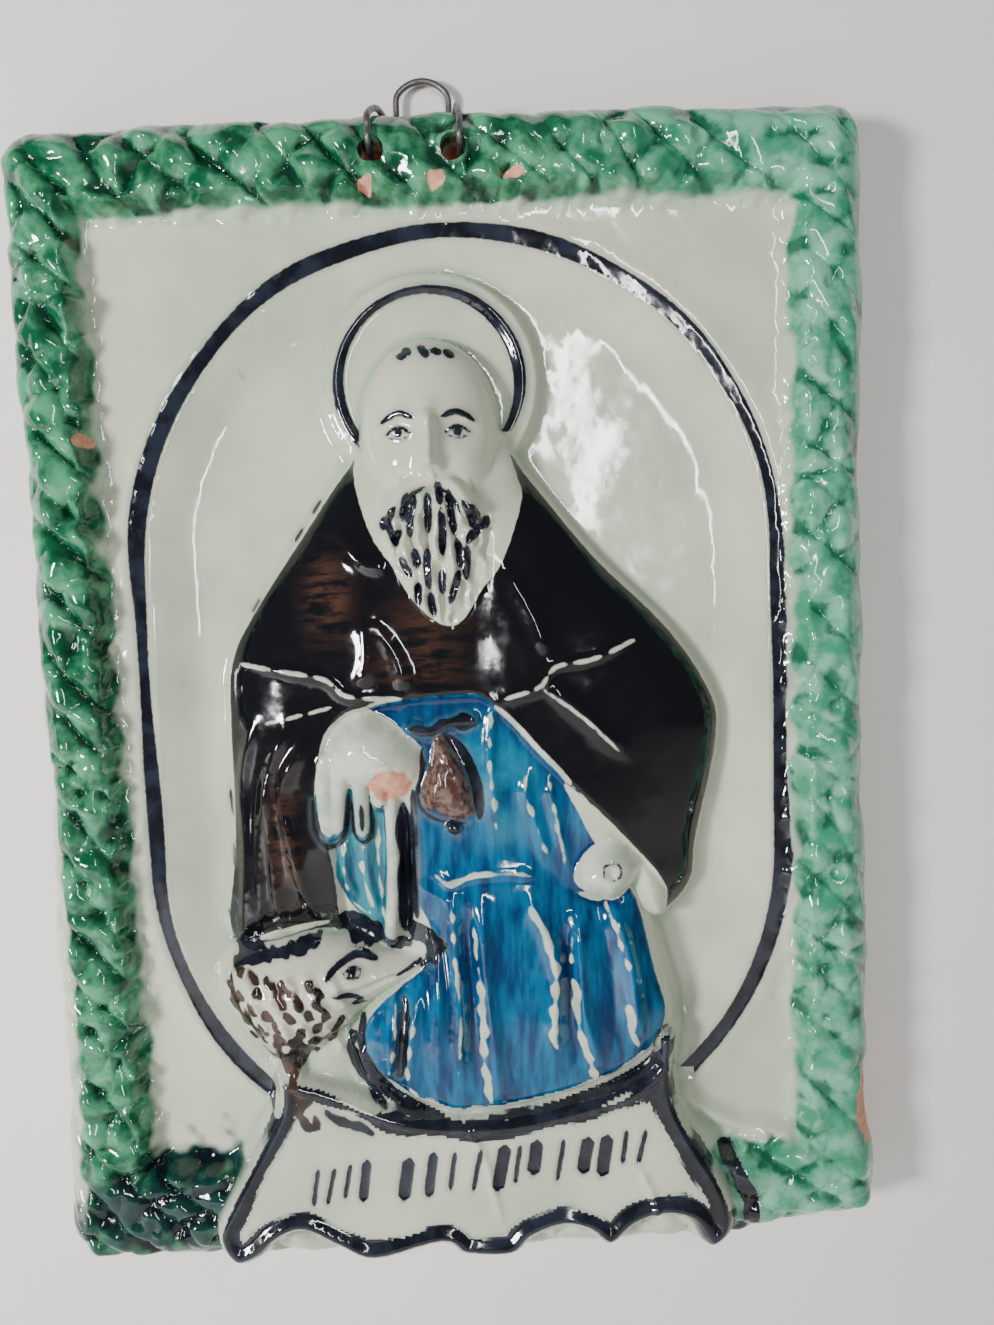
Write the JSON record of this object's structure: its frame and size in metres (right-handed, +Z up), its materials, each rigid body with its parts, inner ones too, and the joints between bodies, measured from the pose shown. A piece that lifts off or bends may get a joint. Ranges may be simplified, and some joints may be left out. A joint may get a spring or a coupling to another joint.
{
  "type": "decorative wall plaque",
  "caption": "Upright glazed earthenware wall plaque with a relief of a hooded, bearded saint in an arched niche, inside a leaf-moulded frame, hung by a loop of iron wire.",
  "frame": {"origin": "middle of the flat back face, on the wall plane", "axes": "+X to the plaque's right as it is looked at, +Z up, and the relief faces -Y, so +Y points into the wall"},
  "size_m": [0.2007, 0.0286, 0.2855],
  "materials": {
    "glazed_earthenware": "thick glossy tin glaze, greyish white, painted green on the frame, brown-black and blue on the figure",
    "iron_wire": "dull grey iron wire"
  },
  "bodies": {
    "root": {"relief_plaque": "glazed_earthenware", "hanging_wire": "iron_wire"}
  },
  "joints": []
}
